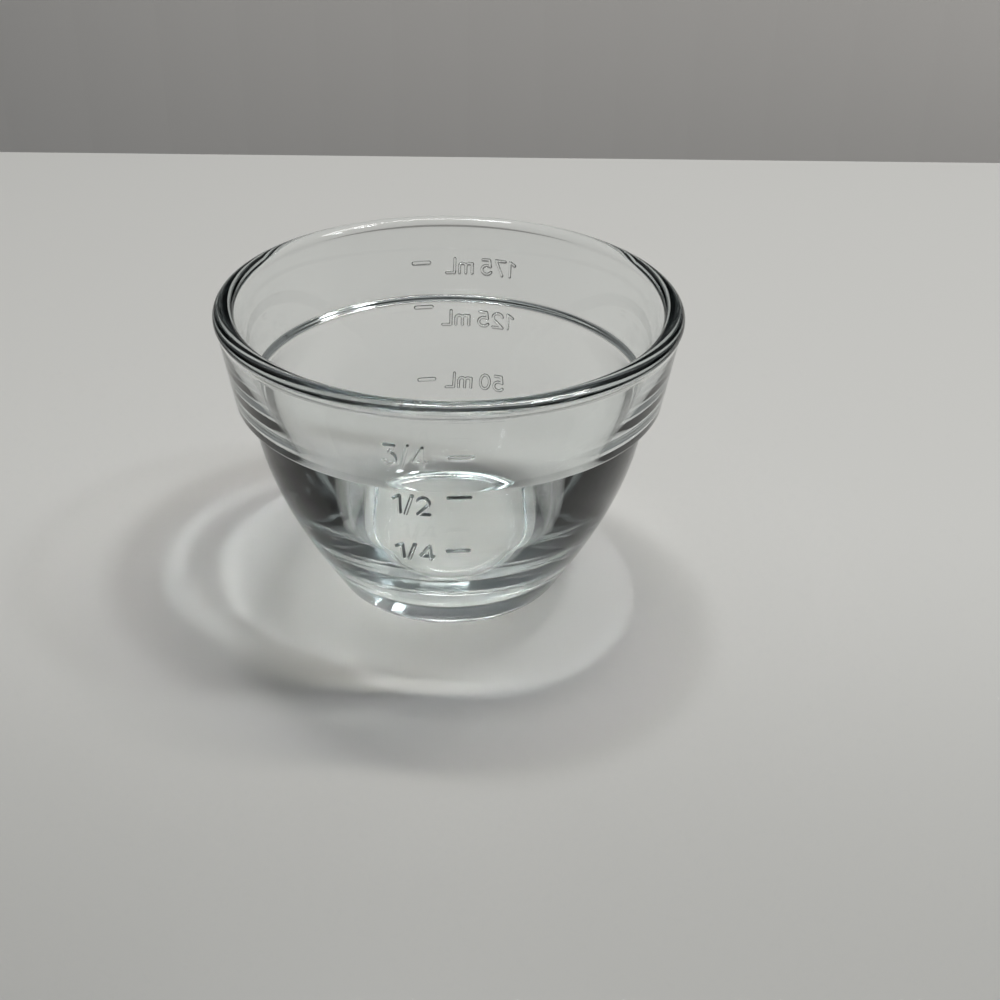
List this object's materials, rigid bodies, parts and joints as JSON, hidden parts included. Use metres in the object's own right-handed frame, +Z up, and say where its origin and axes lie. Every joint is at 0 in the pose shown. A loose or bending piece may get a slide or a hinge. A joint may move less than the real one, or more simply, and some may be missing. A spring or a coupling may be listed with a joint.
{
  "type": "prep bowl",
  "caption": "Small clear pressed-glass prep bowl with a rounded rim bead, a stepped band, a ring foot and raised volume marks on two sides.",
  "frame": {"origin": "centre of the standing ring, on the table plane", "axes": "+Z up along the bowl's axis; the cup marks face -Y and the millilitre marks face +Y"},
  "size_m": [0.0954, 0.0954, 0.0645],
  "materials": {
    "clear_glass": "clear, fire-polished"
  },
  "bodies": {
    "root": {"bowl": "clear_glass"}
  },
  "joints": []
}
